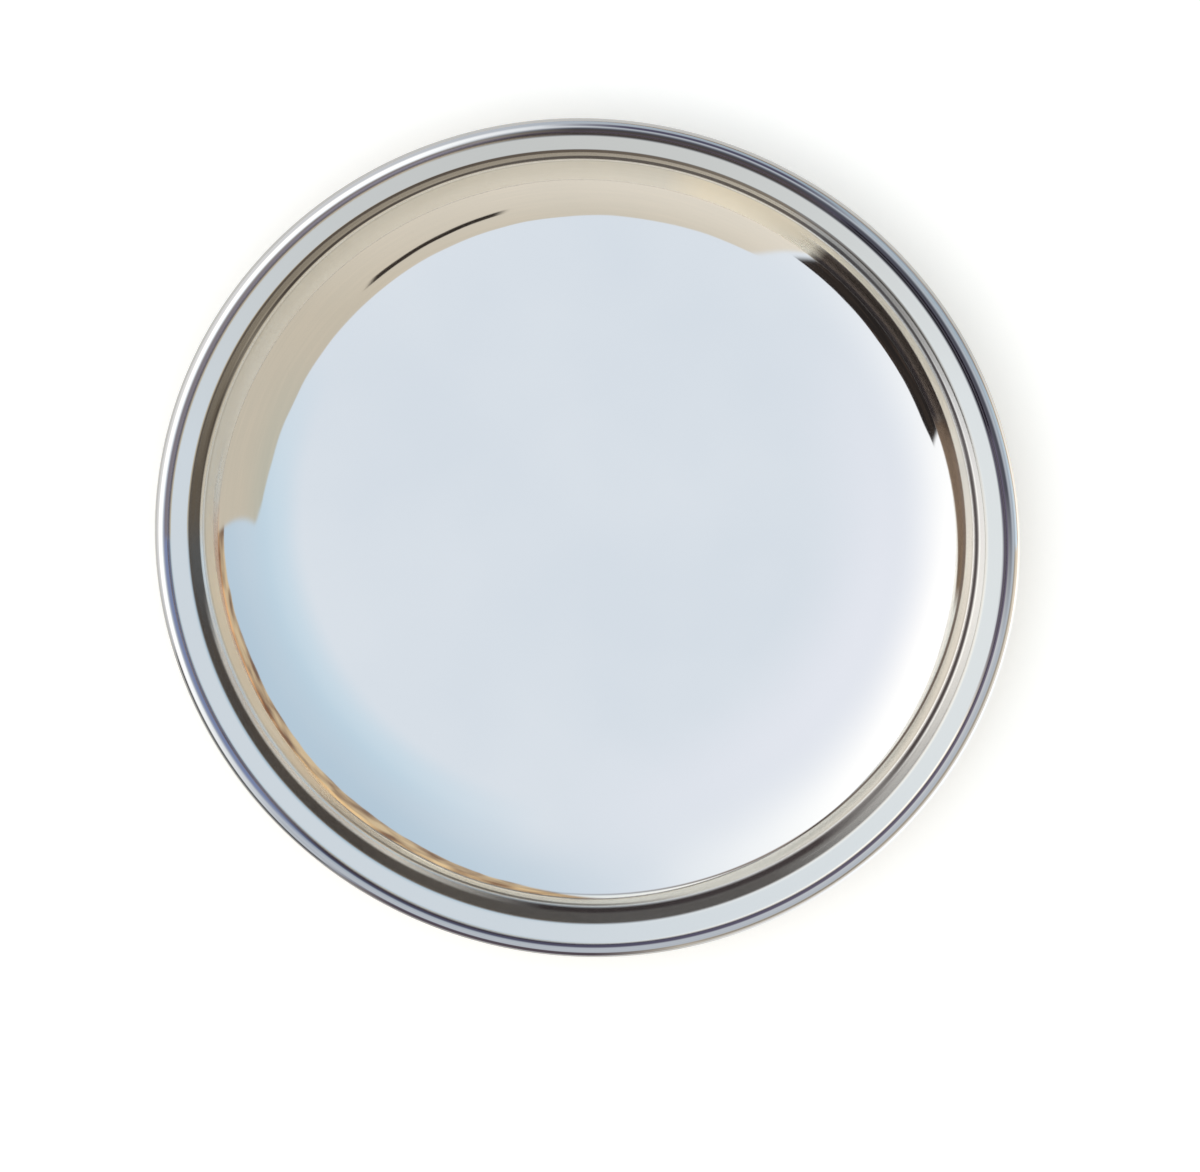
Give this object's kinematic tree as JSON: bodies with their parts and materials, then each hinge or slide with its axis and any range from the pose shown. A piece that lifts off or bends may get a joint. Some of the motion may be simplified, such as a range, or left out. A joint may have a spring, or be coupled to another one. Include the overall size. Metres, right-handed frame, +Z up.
{
  "type": "quarter plate",
  "caption": "Round shallow mirror-polished stainless-steel plate for food, with a flat base, rounded corner, creased wall, narrow ledge and a wired, curled rim.",
  "frame": {"origin": "centre of the base's underside", "axes": "+Z up, square to the base and along the plate's axis of revolution; X and Y lie in the base"},
  "size_m": [0.18, 0.18, 0.0163],
  "materials": {
    "polished_stainless": "mirror polished",
    "drawn_wire": "bright drawn"
  },
  "bodies": {
    "root": {"pressed_plate": "polished_stainless", "rim_wire": "drawn_wire"}
  },
  "joints": []
}
